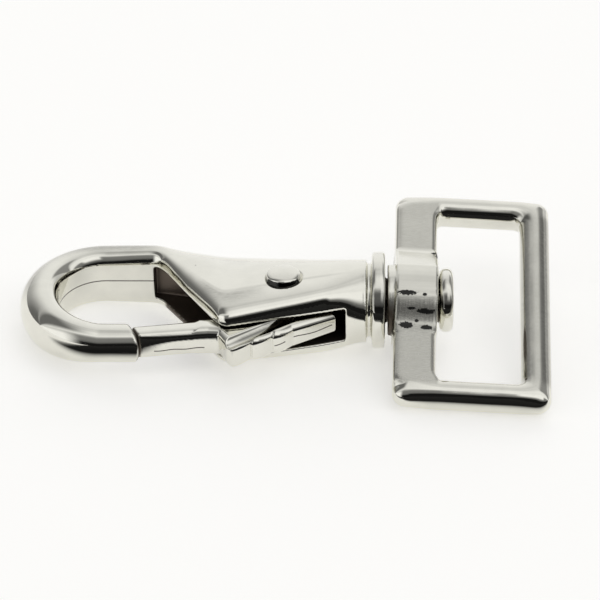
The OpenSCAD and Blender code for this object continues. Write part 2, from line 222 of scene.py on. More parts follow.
def mesh_of(name, field_of, h, to_world):
    """Surface of a distance field as a smooth mesh, its normals and its marks taken from fields."""
    d, ax, marks = field_of(h)
    grid = openvdb.FloatGrid(3.0)
    grid.copyFromArray(np.clip(d, -3 * h, 3 * h).astype(np.float32))
    grid.gridClass = openvdb.GridClass.LEVEL_SET
    pts, tris, quads = grid.convertToPolygons(0.0, 0.0)
    pts = pts.astype(np.float64)
    tris, quads = tris[:, ::-1], quads[:, ::-1]

    clipped = np.clip(d, -6 * h, 6 * h)
    grads = [np.gradient(clipped, h, axis=k) for k in range(3)]
    for _ in range(2):
        n = np.stack([sample(g, pts) for g in grads], 1)
        size = np.maximum(np.linalg.norm(n, axis=1, keepdims=True), 1e-6)
        move = np.clip(sample(clipped, pts)[:, None] * n / size ** 2 / h, -0.5, 0.5)
        pts = pts - move
    n = np.stack([sample(g, pts) for g in grads], 1)
    n /= np.maximum(np.linalg.norm(n, axis=1, keepdims=True), 1e-6)
    local = pts * h + np.array([a[0] for a in ax])
    values = {k: mark(local, n, lambda field: sample(field, pts)) for k, mark in marks.items()}
    ob = make_mesh(name, placed(local, to_world), [tris, quads], n @ np.array(to_world)[:3, :3].T)
    for k, v in values.items():
        write_mark(ob, k, v)
    return ob


def write_mark(ob, key, values):
    """A number at every vertex, which the material reads by its key."""
    ob.data.attributes.new(key, "FLOAT", "POINT").data.foreach_set("value", np.asarray(values, np.float32))


def make_mesh(name, co, faces, normals=None):
    """Object from points and arrays of faces, in the scene and shaded smooth."""
    me = bpy.data.meshes.new(name)
    me.vertices.add(len(co))
    me.vertices.foreach_set("co", np.asarray(co, np.float32).ravel())
    loops = np.concatenate([np.asarray(f, np.int32).ravel() for f in faces if len(f)])
    sizes = np.concatenate([np.full(len(f), f.shape[1], np.int32) for f in faces if len(f)])
    starts = np.concatenate([[0], np.cumsum(sizes)[:-1]]).astype(np.int32)
    me.loops.add(len(loops))
    me.loops.foreach_set("vertex_index", loops)
    me.polygons.add(len(sizes))
    me.polygons.foreach_set("loop_start", starts)
    me.polygons.foreach_set("loop_total", sizes)
    me.polygons.foreach_set("use_smooth", np.ones(len(sizes), bool))
    me.update(calc_edges=True)
    me.validate()
    if normals is not None:
        me.normals_split_custom_set_from_vertices(np.asarray(normals, np.float32))
    ob = bpy.data.objects.new(name, me)
    bpy.context.scene.collection.objects.link(ob)
    return ob


def sweep(name, rings, to_world):
    """Skin over closed rings of points, all of one length, from the first ring to the last."""
    rings = np.asarray(rings, float)
    idx = np.arange(rings.shape[0] * rings.shape[1]).reshape(rings.shape[:2])
    this, following = idx[:-1], idx[1:]
    quads = np.stack([this, np.roll(this, -1, 1), np.roll(following, -1, 1), following], -1).reshape(-1, 4)
    return make_mesh(name, placed(rings.reshape(-1, 3), to_world), [quads])


# ---------------------------------------------------------------- hook body
# Each field function gives a signed distance, its axes and its marks. A mark takes points, their normals
# and a sampler of fields, and gives a number for the material: a parting line's offset, or a share of a tint,
# which mostly paints shade and dark reflections.
def from_neck(x):
    """0 at the neck, 1 where the bend begins."""
    return np.clip((neck_x - x) / (neck_x + bend_x), 0, 1)


def half_t(x):
    """Half of the body's thickness."""
    return neck_d / 2 - (neck_d - arm_t) / 2 * from_neck(x) ** taper_power


def spine_y(x):
    """The outer edge, from the neck up to the arm."""
    return arm_out_y - (arm_out_y - neck_d / 2) * (1 - from_neck(x)) ** spine_power


def face_y(x):
    """The housing's slotted face, which the lever's tail sits in."""
    return -lip_y + (x + lip_x) * (lip_y - neck_d / 2 - near_swell) / (slot_end_x + lip_x)


def edge_y(x):
    """The inner edge: along the arm, down the slanted mouth and along the slotted face."""
    mouth = arm_in_y - (x + mouth_x) * (arm_in_y + lip_y) / (mouth_x - lip_x)
    return np.minimum(arm_in_y, np.maximum(mouth, np.minimum(-neck_d / 2 - near_swell, face_y(x))))


def rounded_edge_y(x):
    """The inner edge averaged over the mouth's fillet."""
    weights = {k: 1 - abs(k) / 7.5 for k in range(-6, 7)}
    return sum(edge_y(x + mouth_fillet * k / 6) * w for k, w in weights.items()) / sum(weights.values())


def slot_floor_y(x):
    """The slot's floor, which leaves the spine an even wall and slopes up at the mouth."""
    return spine_y(x) - spine_wall + slot_ramp * np.maximum(0, slot_ramp_x - x)


def hook_field(h):
    """Bend, arm, nose, slotted housing and swivel shank in one casting, drilled for the rivet and the spring."""
    ax, x, y, z, x2, y2 = coordinates((-hook_reach, nose_out_y, -neck_d / 2 - 1),
                                      (button_x + button_w, arm_out_y, neck_d / 2 + 1), h)
    # plan coordinate across the bar, -1 on its inner edge and 1 on its outer one
    inner, outer = rounded_edge_y(x2), spine_y(x2)
    u_house = 2 * (y2 - inner) / (outer - inner) - 1
    dx = x2 + bend_x
    ri = np.hypot(dx, y2 + eye_shift) + 1e-6
    ro = np.hypot(dx, y2 - bend_out_y) + 1e-6
    fi = np.sqrt((dx / bend_in_rx) ** 2 + ((y2 + eye_shift) / eye_r) ** 2) + 1e-6
    fo = np.sqrt((dx / bend_out_rx) ** 2 + ((y2 - bend_out_y) / bend_out_ry) ** 2) + 1e-6
    di, do = ri * (1 - 1 / fi), ro * (1 / fo - 1)
    u_bend = 2 * di / np.maximum(di + do, 0.3) - 1
    u_nose = 2 * (nose_in_y - y2) / nose_w - 1
    turn = np.degrees(np.arctan2((y2 - (bend_out_y - eye_shift) / 2) / bend_out_ry,
                                 np.minimum(dx, -1e-6) / bend_out_rx))
    turn = np.where(turn < 0, turn + 360, turn)
    to_nose = np.clip((turn - 180) / 90, 0, 1) ** 1.4
    h_bend = arm_t / 2 + (nose_t - arm_t) / 2 * to_nose
    in_bend = x2 <= -bend_x
    in_nose = ~in_bend & (x2 < -12) & (y2 < -eye_shift)
    in_hook = in_bend | in_nose
    u2 = np.where(in_bend, u_bend, np.where(in_nose, u_nose, u_house))
    h2 = np.where(in_bend, h_bend, np.where(in_nose, nose_t / 2, half_t(x2)))
    at_neck = smoothstep(1 - (neck_x - x2) / 6)
    at_arm = smoothstep((-x2 - mouth_x + 6) / 7)
    full = wall_power - 0.4 + 1.7 * smoothstep((x2 + 11.5) / 5.5)
    p_in = np.where(in_hook, wall_power - 0.4, full + (2 - full) * at_neck)
    flat = 1 - 0.1 * smoothstep((-x2 - 7.5) / 6)
    p_out = np.where(in_hook, round_power, round_power + (2 - round_power) * at_neck)
    crest = np.where(in_hook, bend_crest + (nose_crest - bend_crest) * np.where(in_nose, 1, to_nose),
                     housing_crest + (0.5 - housing_crest) * at_neck + (bend_crest - housing_crest) * at_arm)
    # a narrow flat along the housing's near flank, faded out past its ends and kept off the nose
    s2 = -(u2 + 1 - 2 * crest) / (2 * crest)
    w_bar = np.maximum(outer - inner, 0.5) * crest
    here = smoothstep((x2 + 9) / 2) * smoothstep((7 - x2) / 2)
    depth = 0.09 * here - 1.5 * (1 - here) - 9.0 * in_nose
    u3, s3, h3, in3, out3, crest3, flat3, w3, depth3 = on_grid(u2, s2, h2, p_in, p_out, crest, flat, w_bar, depth)
    d = normalised(section(u3, z / h3, in3, out3, crest3, flat3), h)
    d = rmax(d, facet(s3, z / h3, in3, w3, h3, facet_angle, depth3).astype(np.float32), 0.12)
    d = np.maximum(d, np.where(in_nose, x2 - nose_end_x, x2 - neck_x)[:, :, None])
    whole = d
    # swivel: groove, collar, shank and button
    r = np.sqrt(y * y + z * z)
    core = np.maximum(r - groove_d / 2, np.abs(x - (neck_x + collar_x) / 2) - (collar_x - neck_x) / 2 - 1.2)
    d = rmin(d, core, 0.12)
    d = rmin(d, disc(r, x, collar_x, shank_x, collar_d / 2, 0.4), 0.1)
    shank = np.maximum(r - shank_d / 2, np.abs(x - (shank_x + button_x) / 2) - (button_x - shank_x) / 2 - 0.8)
    d = rmin(d, shank, 0.15)
    d = rmin(d, disc(r, x, button_x, button_x + button_w, button_d / 2, 0.75), 0.05)
    # slot, spring pocket, nose joint, rivet seats
    floor = slot_floor_y(x2)[:, :, None]
    lip = slot_lip * smoothstep((1.9 - (y2 - inner)) / 0.8)[:, :, None] * (z > 0)
    slot = np.maximum(y - floor, np.maximum(x - slot_end_x, slot_start_x - x))
    slot = rmax(slot, np.abs(z) - slot_w / 2 + lip, 0.1)
    d = rmax(d, -slot, 0.26)
    pocket = np.maximum(np.sqrt((x + spring_x) ** 2 + z * z) - spring_d / 2 - 0.15,
                        np.abs(y - slot_floor_y(-spring_x)) - pocket_depth)
    d = np.maximum(d, -pocket)
    from_pivot = np.sqrt(x * x + (y + pivot_y) ** 2)
    joint = np.maximum(from_pivot - gate_reach, np.maximum(y - nose_in_y - 2, -gate_reach - x))
    joint = np.maximum(joint, x - nose_end_x - 1)
    d = rmax(d, -joint, 0.35)
    d = np.maximum(d, rivet_d / 2 - from_pivot)
    seat = np.maximum(from_pivot - rivet_head_d / 2 - 0.05, seat_z - np.abs(z))
    d = rmax(d, -seat, 0.05)

    def plan_u(at):
        """The plan coordinate across the bar."""
        return at(np.broadcast_to(u3, d.shape))

    def shade_and_bare_cast(p, n, at):
        # painted shade inside the slot, under its lip, on the mouth's lower lip, in the slit at the nose and on the
        # shank where it faces down; in the slot and on the mouth's lip it also stands for the darker bare casting
        inside = smoothstep((-at(whole) - 0.12) / 0.5)
        under = smoothstep((-at(whole) - 0.1) / 0.15) * (n[:, 2] * np.sign(p[:, 2]) < -0.3)
        inside = np.maximum(inside, under) * (p[:, 0] > slot_start_x - 0.3) * (p[:, 0] < neck_x - 0.4)
        mouth = smoothstep((p[:, 0] + 14.6) / 0.5) * smoothstep((-8.0 - p[:, 0]) / 1.0) * (p[:, 2] < 0)
        mouth *= (plan_u(at) < -0.8) * smoothstep((p[:, 2] + 3.9) / 0.4) * (np.abs(n[:, 2]) < 0.8)
        reach = np.abs(np.hypot(p[:, 0], p[:, 1] + pivot_y) - gate_reach)
        slit = 0.8 * smoothstep((0.3 - reach) / 0.2) * (p[:, 0] < -15) * (p[:, 1] < nose_in_y + 1)
        on_shank = (p[:, 0] > collar_x + 0.3) & (np.hypot(p[:, 1], p[:, 2]) < shank_d / 2 + 0.3)
        shaded = 0.85 * on_shank * smoothstep((0.45 - n[:, 2]) / 0.4)
        return np.maximum.reduce([inside, slit, shaded, mouth])

    def seam(p, n, at):
        wall = (p[:, 0] < -9) & (np.abs(n[:, 2]) < 0.7) & (plan_u(at) < -0.6)
        return np.where(wall, p[:, 2], 9.0)

    def painted_shade(p, n, at):
        # painted shade and dark reflections: a band along the arm, the crease above the housing's flank, which the
        # surface itself lacks, and the discs' rims
        across = plan_u(at)
        crest_u = -0.1 + 0.6 * smoothstep((-p[:, 0] - 22) / 6)
        band = np.exp(-((across - crest_u) / 0.42) ** 2) * smoothstep((p[:, 1] + 4.5) / 4) * (n[:, 2] > 0)
        arm = 0.95 * band * smoothstep((-p[:, 0] - 13) / 5)
        below = -0.36 + 0.012 * p[:, 0] - across
        wide = smoothstep(below / 0.08) * (1 - smoothstep((below - 0.08) / 0.4))
        wide *= 1 - smoothstep((p[:, 0] + 5.5) / 5)
        crease = 0.45 * np.exp(-(below / 0.035) ** 2) + 0.8 * wide
        crease *= smoothstep((p[:, 0] + 10.5) / 2) * (1 - smoothstep((p[:, 0] - 4) / 5)) * (n[:, 2] > 0.3)
        up = np.degrees(np.arctan2(n[:, 2], -n[:, 1]))
        on_discs = (p[:, 0] > collar_x - 0.2) & (np.hypot(p[:, 1], p[:, 2]) > shank_d / 2 + 0.6)
        rim = on_discs * 1.6 * np.exp(-((up - 32) / 11) ** 2)
        return np.maximum.reduce([arm, crease, rim])

    return d, ax, {"shade_and_bare_cast": shade_and_bare_cast, "seam": seam, "painted_shade": painted_shade}


# ---------------------------------------------------------------- gate lever
tail_y = face_y(tail_x) + tail_recess
heel_y = float(slot_floor_y(np.float64(heel_x))) - heel_gap
flute_from, flute_to = (-5.9, -11.9), (0.6, -6.6)


def trigger_y(x):
    """The line from the thumb bump's point to the tail."""
    return -bump_y + (x - bump_x) * (bump_y + tail_y) / (tail_x - bump_x)


def lever_outline():
    """The lever in plan without its bar and hub: scoop, thumb bump, three scallops, tail, heel and spring pad."""
    pts = [(bar_end_x - 1.5, bar_end_y - gate_w / 2), (bar_end_x, bar_end_y - gate_w / 2),
           (bar_end_x + scoop, bar_end_y - gate_w / 2 - 0.2),
           (bump_x - 0.9, -bump_y + 1.5), (bump_x - 0.45, -bump_y + 0.35)]
    for k in range(3):
        for i in range(9):
            t = i / 8
            x = bump_x + ridge_w * (k + t) + (0.05 if i == 0 else 0)
            pts.append((x, trigger_y(x) - ridge_h * math.sin(math.pi * (0.15 + 0.85 * t))))
    pts += [(tail_x, tail_y), (tail_x, tail_y + 3), (heel_x, heel_y), (heel_x - 2, heel_y - 0.4),
            (hub_r * 0.6, -pivot_y + hub_r * 0.8), (-hub_r * 0.7, -pivot_y + hub_r * 0.7),
            (-spring_x + pad_half, pad_y), (-spring_x - pad_half, pad_y), (bar_end_x, bar_end_y + gate_w / 2),
            (bar_end_x - 1.5, bar_end_y + gate_w / 2)]
    return pts


def along_flute(x, y):
    """How far along the flute beside the thumb bump a point lies, 0 to 1, and its distance to the flute's side."""
    (fx, fy), (tx, ty) = flute_from, flute_to
    length = math.hypot(tx - fx, ty - fy)
    t = np.clip(((x - fx) * (tx - fx) + (y - fy) * (ty - fy)) / length ** 2, 0, 1)
    return t, ((x - fx) * (ty - fy) - (y - fy) * (tx - fx)) / length


def lever_field(h):
    """Gate bar, hub, thumb bump, scalloped tail and spring peg in one casting."""
    ax, x, y, z, x2, y2 = coordinates((-gate_reach, -bump_y - 0.6, -hub_half_t), (tail_x, 3.2, hub_half_t), h)
    plan = polygon_distance(x2, y2, lever_outline()).astype(np.float32)
    plan = rmin(plan, (np.hypot(x2, y2 + pivot_y) - hub_r).astype(np.float32), 0.4)
    from_pivot = np.sqrt(x * x + (y + pivot_y) ** 2)
    half = np.interp(ax[0], [bump_x, tail_x + 1], [plate_t / 2, tail_t / 2])[:, None, None]
    d = rmax(plan[:, :, None], np.abs(z) - half, 0.85)
    hub = rmax(from_pivot - hub_r, np.abs(z) - hub_half_t, 0.15)
    d = rmin(d, hub, 0.2)
    # bar that closes the mouth
    t = np.clip((ax[0] + gate_reach + 0.5) / (bar_end_x + gate_reach + 0.5), 0, 1)[:, None, None]
    mid = tip_y + (bar_end_y - tip_y) * t
    hw = (gate_w + 0.3 * t) / 2
    ht = gate_t / 2 + (plate_t / 2 - gate_t / 2) * t
    bar = normalised(section((y - mid) / hw, z / ht, wall_power, wall_power).astype(np.float32), h)
    trim = facet((mid - y) / hw, z / ht, wall_power, hw, ht, facet_angle, 0.13 - 0.22 * smoothstep((x + 18.5) / 8))
    bar = rmax(bar, trim.astype(np.float32), 0.1)
    bar = np.maximum(bar, x - bar_end_x - 1.2)
    d = rmin(d, bar, 0.5)
    t, _ = along_flute(x2, y2)
    away = np.hypot(x2 - flute_from[0] - t * (flute_to[0] - flute_from[0]),
                    y2 - flute_from[1] - t * (flute_to[1] - flute_from[1]))[:, :, None]
    d = rmax(d, 0.95 - np.sqrt(away ** 2 + (z - plate_t / 2 - 0.15) ** 2), 0.15)
    d = rmax(d, from_pivot - gate_reach + gate_gap + tip_ease, 0.35)
    peg = np.maximum(np.sqrt((x + spring_x) ** 2 + z * z) - spring_d / 2 + wire_d + peg_clear,
                     np.maximum(y - pad_y - peg_h, pad_y - 1 - y))
    d = rmin(d, peg, 0.1)
    d = np.maximum(d, rivet_d / 2 + rivet_clear - from_pivot)

    def seam(p, n, at):
        front = (p[:, 0] > -0.9) & (n[:, 1] < -0.75)
        on_bar = (p[:, 0] > -15) & (p[:, 0] < -9) & (n[:, 1] < -0.6)
        tail = np.where(front & (p[:, 0] < tail_x - 0.4), p[:, 2] + 0.05 - 0.12 * np.sin(1.3 * p[:, 0]), 9.0)
        bar = np.where(on_bar, p[:, 2] + 0.55 + 0.05 * np.sin(2.1 * p[:, 0]), 9.0)
        return np.where(np.abs(tail) < np.abs(bar), tail, bar)

    def shade_and_bare_cast(p, n, at):
        # painted shade in the gap at the gate's tip
        reach = np.hypot(p[:, 0], p[:, 1] + pivot_y) - gate_reach + gate_gap + tip_ease
        return 0.8 * smoothstep((reach + 0.3) / 0.2) * (p[:, 0] < -15)

    def painted_shade(p, n, at):
        # painted shade: both sides of the flute, and where the tail dips into the slot
        t, side = along_flute(p[:, 0], p[:, 1])
        flute = np.exp(-((side + 0.42) / 0.3) ** 2) + 0.9 * np.exp(-((side - 0.62) / 0.26) ** 2)
        under = smoothstep((p[:, 1] - face_y(p[:, 0]) + 0.1) / 0.7) * smoothstep((p[:, 0] + 8.5) / 2.5)
        return np.maximum(1.4 * flute * smoothstep(t / 0.3), 1.3 * under) * (p[:, 2] > 0.4) * (n[:, 2] > 0.15)

    return d, ax, {"seam": seam, "shade_and_bare_cast": shade_and_bare_cast, "painted_shade": painted_shade}


# ---------------------------------------------------------------- strap loop
# casting pits on the boss: x, y and the radii along them
casting_pits = ((-1.15, -2.3, 1.25, 0.34), (0.95, -2.45, 0.3, 0.2), (1.1, -4.1, 1.2, 0.26),
                (-0.6, -3.9, 0.5, 0.14), (-1.1, -5.6, 0.9, 0.46), (1.25, -5.75, 0.7, 0.36),
                (0.1, -5.0, 0.26, 0.16), (2.1, 5.6, 0.4, 0.28), (2.4, 4.9, 0.2, 0.5))


def loop_field(h):
    """Rounded frame, with a bored boss on the bar nearest the neck."""
    ax, x, y, z, x2, y2 = coordinates((-boss_w / 2 - boss_spigot_l - 0.2, -loop_half_w, -boss_h / 2),
                                      (loop_out_x, loop_half_w, boss_h / 2), h)
    out_c, out_h = (loop_out_x - boss_w / 2) / 2, (loop_out_x + boss_w / 2) / 2
    in_c, in_h = boss_w / 2 + strap_gap / 2, strap_gap / 2
    # plan coordinate across the frame's bars, -1 on the inner edge and 1 on the outer one
    d_out = -box_distance(x2, y2, out_c, 0, out_h, loop_half_w, loop_corner_r)
    d_in = box_distance(x2, y2, in_c, 0, in_h, strap_w / 2, loop_inner_r)
    bar_w = np.maximum(d_in + d_out, 0.3)
    u2 = 2 * d_in / bar_w - 1
    on_boss = smoothstep((boss_w / 2 + 0.6 - x2) / 1.6) * smoothstep((side_bar_y - np.abs(y2)) / 1.5)
    p = bar_power + (boss_bar_power - bar_power) * on_boss
    # narrow flats on the near edges of both long bars
    near = smoothstep((x2 + boss_w / 2 + 0.2) / 2.5) * smoothstep((loop_out_x + 0.4 - x2) / 2.5)
    far = smoothstep((x2 - boss_w / 2 + 0.5) / 1.6) * smoothstep((loop_out_x - loop_end_w + 0.5 - x2) / 1.6)
    here = np.where(y2 < 0, near, far) * (np.abs(y2) > strap_w / 2 - 0.8)
    u3, facing, p3, half_w, depth = on_grid(u2, np.where(y2 < 0, u2, -u2), p, bar_w / 2,
                                            0.055 * here - 0.5 * (1 - here))
    d = normalised(section(u3, z / (loop_t / 2), p3, p3).astype(np.float32), h)
    trim = facet(facing, z / (loop_t / 2), p3, half_w, loop_t / 2, facet_angle + math.degrees(loop_tilt), depth)
    d = rmax(d, trim.astype(np.float32), 0.1)
    # boss, its near flank rising in a smooth swell
    half_bar = loop_t / 2 - 0.05
    outline = []
    for i in range(41):
        t = i / 40
        rise = t ** 3 * (t * (t * 6 - 15) + 10)
        outline.append((-boss_foot_w / 2 + (boss_foot_w - boss_flat_w + 0.6) / 2 * t,
                        half_bar + (boss_h / 2 - 0.12 - half_bar) * rise))
    outline += [(-1.3, boss_h / 2 - 0.045), (-0.6, boss_h / 2), (0.4, boss_h / 2), (1.1, boss_h / 2 - 0.05),
                (boss_flat_w / 2, 4.0), (boss_foot_w / 2, half_bar), (boss_foot_w / 2, -half_bar),
                (boss_flat_w / 2, -boss_h / 2), (-boss_flat_w / 2, -boss_h / 2), (-boss_foot_w / 2, -half_bar)]
    y3, z3 = np.meshgrid(ax[1], ax[2], indexing="ij")
    boss = polygon_distance(y3, z3, outline).astype(np.float32)[None]
    boss = rmax(boss, np.abs(x) - boss_w / 2, 0.4)
    d = rmin(d, boss, 0.25)
    # the swivel's axis as it runs through the tilted loop
    along = (x * math.cos(lie_pitch) + y * (math.sin(loop_tilt) * math.sin(lie_pitch))
             + z * (math.cos(loop_tilt) * math.sin(lie_pitch)))
    r = np.sqrt(np.maximum(x * x + y * y + z * z - along * along, 0))
    spigot = rmax(r - boss_h / 2, np.abs(along + boss_w / 2) - boss_spigot_l, 0.2)
    d = rmin(d, spigot, 0.1)
    bore = np.maximum(r - shank_d / 2 - swivel_clear, np.abs(along) - boss_w)
    d = rmax(d, -bore, 0.12)

    def on_bar(p):
        """1 on the bar that carries the boss."""
        return (smoothstep((boss_w / 2 + 0.3 - p[:, 0]) / 0.35)
                * smoothstep((side_bar_y + 0.2 - np.abs(p[:, 1])) / 0.8))

    def satin(p, n, at):
        end = smoothstep((p[:, 0] - loop_out_x + loop_end_w) / 0.5)
        end *= smoothstep((side_bar_y - np.abs(p[:, 1])) / 1.2)
        bar = on_bar(p) * np.clip(np.abs(n[:, 2]) * 1.6, 0, 1) * np.where(p[:, 1] > -2.0, 0.3, 1.0)
        return np.maximum(bar, 0.35 * end)

    def painted_shade(p, n, at):
        # painted shade and dark reflections: beside the boss's feet, its near flank, and bands along the end bar
        near = smoothstep((-p[:, 1] - boss_foot_w / 2 + 0.6) / 0.5)
        far = smoothstep((p[:, 1] - boss_foot_w / 2 + 0.3) / 0.4)
        flank = smoothstep((-p[:, 1] - 2.3) / 0.6) * (1.1 - 0.4 * smoothstep((-p[:, 1] - 4.6) / 0.8))
        flank *= p[:, 1] > -boss_foot_w / 2 - 0.2
        bars = on_bar(p) * np.maximum.reduce([near * 0.5, far * 0.32, flank])
        across = (loop_out_x - p[:, 0]) / loop_end_w
        end = (0.8 * smoothstep((across - 0.62) / 0.15) + 0.7 * smoothstep((0.42 - across) / 0.15) + 0.3)
        end *= smoothstep((1.15 - across) / 0.2) * smoothstep((side_bar_y - 0.6 - np.abs(p[:, 1])) / 1.4)
        return np.maximum(bars, end) * np.clip(np.abs(n[:, 2]) * 1.5, 0, 1)

    def pit_and_shade(p, n, at):
        out = np.zeros(len(p))
        for px, py, rx, ry in casting_pits:
            q = ((p[:, 0] - px) / rx) ** 2 + ((p[:, 1] - py) / ry) ** 2
            out = np.maximum(out, np.exp(-0.8 * q ** 1.6) * (p[:, 2] > 0))
        return out

    def shade_and_bare_cast(p, n, at):
        # painted shade on the spigot, in the gap to the collar
        return smoothstep((-boss_w / 2 - 0.02 - p[:, 0]) / 0.1) * smoothstep((0.8 - n[:, 2]) / 0.35)

    return d, ax, {"satin": satin, "painted_shade": painted_shade, "pit_and_shade": pit_and_shade, "shade_and_bare_cast": shade_and_bare_cast}


# ---------------------------------------------------------------- materials
class Shader:
    """Short forms for the nodes of one material or world."""

    def __init__(self, owner):
        owner.use_nodes = True
        self.nodes, self.link = owner.node_tree.nodes, owner.node_tree.links.new
        self.coords = self.nodes.new("ShaderNodeTexCoord").outputs

    def feed(self, sockets, values):
        """Gives each socket its number, its colour or its link."""
        for sock, v in zip(sockets, values):
            if isinstance(v, (int, float)):
                sock.default_value = v
            elif isinstance(v, tuple):
                sock.default_value = (*v, 1)
            else:
                self.link(v, sock)

    def math(self, op, *values):
        m = self.nodes.new("ShaderNodeMath")
        m.operation = op
        self.feed(m.inputs, values)
        return m.outputs["Value"]

    def mix(self, fac, under, over):
        """One colour laid over another where fac is 1."""
        m = self.nodes.new("ShaderNodeMix")
        m.data_type = "RGBA"
        self.feed((m.inputs["Factor"], m.inputs[6], m.inputs[7]), (fac, under, over))
        return m.outputs[2]

    def fade(self, value, start, end, low=0.0, high=1.0, smooth=True):
        """From low to high as value goes from start to end."""
        m = self.nodes.new("ShaderNodeMapRange")
        m.interpolation_type = "SMOOTHSTEP" if smooth else "LINEAR"
        sockets = [m.inputs[k] for k in ("Value", "From Min", "From Max", "To Min", "To Max")]
        self.feed(sockets, (value, start, end, low, high))
        return m.outputs["Result"]

    def ramp(self, fac, stops):
        """Colours or greys at positions along fac."""
        r = self.nodes.new("ShaderNodeValToRGB")
        cols = [(*v, 1) if isinstance(v, tuple) else (v, v, v, 1) for _, v in stops]
        e = r.color_ramp.elements
        e[0].position, e[0].color = stops[0][0], cols[0]
        e[-1].position, e[-1].color = stops[-1][0], cols[-1]
        for (pos, _), col in zip(stops[1:-1], cols[1:-1]):
            e.new(pos).color = col
        self.link(fac, r.inputs["Fac"])
        return r.outputs["Color"]

    def noise(self, scale, detail=3.0, rough=0.5, turned=(0.0, 0.0, 0.0)):
        """Noise in the piece's own coordinates, in cycles a metre: one scale, or one along each turned axis."""
        n = self.nodes.new("ShaderNodeTexNoise")
        place = self.coords["Object"]
        if isinstance(scale, tuple):
            mp = self.nodes.new("ShaderNodeMapping")
            mp.inputs["Scale"].default_value = scale
            mp.inputs["Rotation"].default_value = turned
            self.link(place, mp.inputs["Vector"])
            scale, place = 1.0, mp.outputs["Vector"]
        self.feed([n.inputs[k] for k in ("Vector", "Scale", "Detail", "Roughness")], (place, scale, detail, rough))
        return n.outputs["Fac"]

    def attribute(self, key):
        """A mark that write_mark left on the mesh, 0 where there is none."""
        a = self.nodes.new("ShaderNodeAttribute")
        a.attribute_type = "GEOMETRY"
        a.attribute_name = key
        return a.outputs["Fac"]


def nickel(name, pits=1.0, tint=(0.80, 0.79, 0.72), rough=0.06, seam=False):
    """Worn bright plating: cloudy haze, scratches, pits, and the tints and roughness that the marks ask for; most
    of the tints are painted shade and dark reflections.
    """
    mat = bpy.data.materials.new(name)
    sh = Shader(mat)
    b = sh.nodes["Principled BSDF"]
    b.inputs["Metallic"].default_value = 1.0
    b.inputs["Specular IOR Level"].default_value = 0.5
    satin, shade_and_bare_cast = sh.attribute("satin"), sh.attribute("shade_and_bare_cast")
    # pits: scattered small ones, and those marked, with ragged edges; the marked ones include painted shade on the
    # rivet head's near rim
    cells = sh.nodes.new("ShaderNodeTexVoronoi")
    cells.inputs["Scale"].default_value = 620
    cells.inputs["Randomness"].default_value = 1.0
    sh.link(sh.coords["Object"], cells.inputs["Vector"])
    few = sh.math("MULTIPLY", sh.math("SUBTRACT", sh.noise(330, 2.0), 0.66), 1.1 * pits)
    small = sh.math("LESS_THAN", cells.outputs["Distance"], few)
    ragged = sh.math("SUBTRACT", sh.noise(4200, 4.0, 0.7), 0.5)
    deep = sh.math("GREATER_THAN", sh.math("MULTIPLY_ADD", ragged, 1.9, sh.attribute("pit_and_shade")), 0.55)
    pit_and_shade = sh.math("MAXIMUM", small, deep)
    # colour
    col = sh.ramp(sh.noise(260, 4.0, 0.6), [(0.3, tuple(c * 0.93 for c in tint)), (0.62, tint)])
    grain = sh.math("MULTIPLY_ADD", sh.noise((1500, 9000, 1500), 4.0, 0.6), 1.3, 0.25)
    # painted shade and dark reflections, towards half the tint
    col = sh.mix(sh.math("MULTIPLY", sh.attribute("painted_shade"), grain), col, tuple(c * 0.50 for c in tint))
    # painted shade in gaps and recesses, dark brown, which in the slot also stands for bare casting
    col = sh.mix(shade_and_bare_cast, col, (0.15, 0.125, 0.105))
    # near-black pits, and the painted shade on the rivet's rim
    col = sh.mix(pit_and_shade, col, (0.035, 0.035, 0.033))
    if seam:
        line = sh.math("LESS_THAN", sh.math("ABSOLUTE", sh.attribute("seam")), 0.07)
        col = sh.mix(line, col, (0.10, 0.09, 0.08))
    sh.link(col, b.inputs["Base Color"])
    # roughness: polished, with faint cloudy haze and fine scratches
    scratches = [sh.noise((180, 9000, 9000), 2.0, 0.5, (0.0, 0.0, 0.35)),
                 sh.noise((8000, 260, 8000), 2.0, 0.5, (0.2, 0.0, -0.5))]
    scratch = sh.math("MAXIMUM", sh.math("GREATER_THAN", scratches[0], 0.70),
                      sh.math("GREATER_THAN", scratches[1], 0.71))
    haze = sh.math("MULTIPLY_ADD", sh.noise(900, 3.0, 0.55), 0.07, rough - 0.035)
    for share, amount in ((scratch, 0.10), (satin, 0.20), (shade_and_bare_cast, 0.4)):
        haze = sh.math("MULTIPLY_ADD", share, amount, haze)
    sh.link(haze, b.inputs["Roughness"])
    # relief, in metres: slow waves and grain, less scratches and pits, and the brushing of the satin bars
    brushed = sh.math("MULTIPLY", sh.noise((5200, 420, 420), 3.0, 0.6), satin)
    height = sh.math("MULTIPLY", sh.noise(170, 1.0, 0.4), 0.00012)
    fine = sh.noise(2600, 2.0, 0.5)
    for share, amount in ((fine, 1.0e-6), (scratch, -0.7e-6), (pit_and_shade, -0.00003), (brushed, 0.000012)):
        height = sh.math("MULTIPLY_ADD", share, amount, height)
    bump = sh.nodes.new("ShaderNodeBump")
    bump.inputs["Strength"].default_value = 1.0
    bump.inputs["Distance"].default_value = 1.0
    sh.link(height, bump.inputs["Height"])
    sh.link(bump.outputs["Normal"], b.inputs["Normal"])
    return mat


# ---------------------------------------------------------------- build the pieces
plate = nickel("nickel_plate")
plate_seam = nickel("nickel_plate_seamed", seam=True)
wire = nickel("spring_wire", tint=(0.5, 0.49, 0.46), rough=0.25, pits=0.0)

body_h, lever_h, loop_h = ((0.176, 0.09, 0.128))
body = mesh_of("hook_casting", hook_field, body_h, BODY_TO_WORLD)
lever = mesh_of("trigger_gate", lever_field, lever_h, BODY_TO_WORLD)
loop = mesh_of("loop_casting", loop_field, loop_h, LOOP_TO_WORLD)


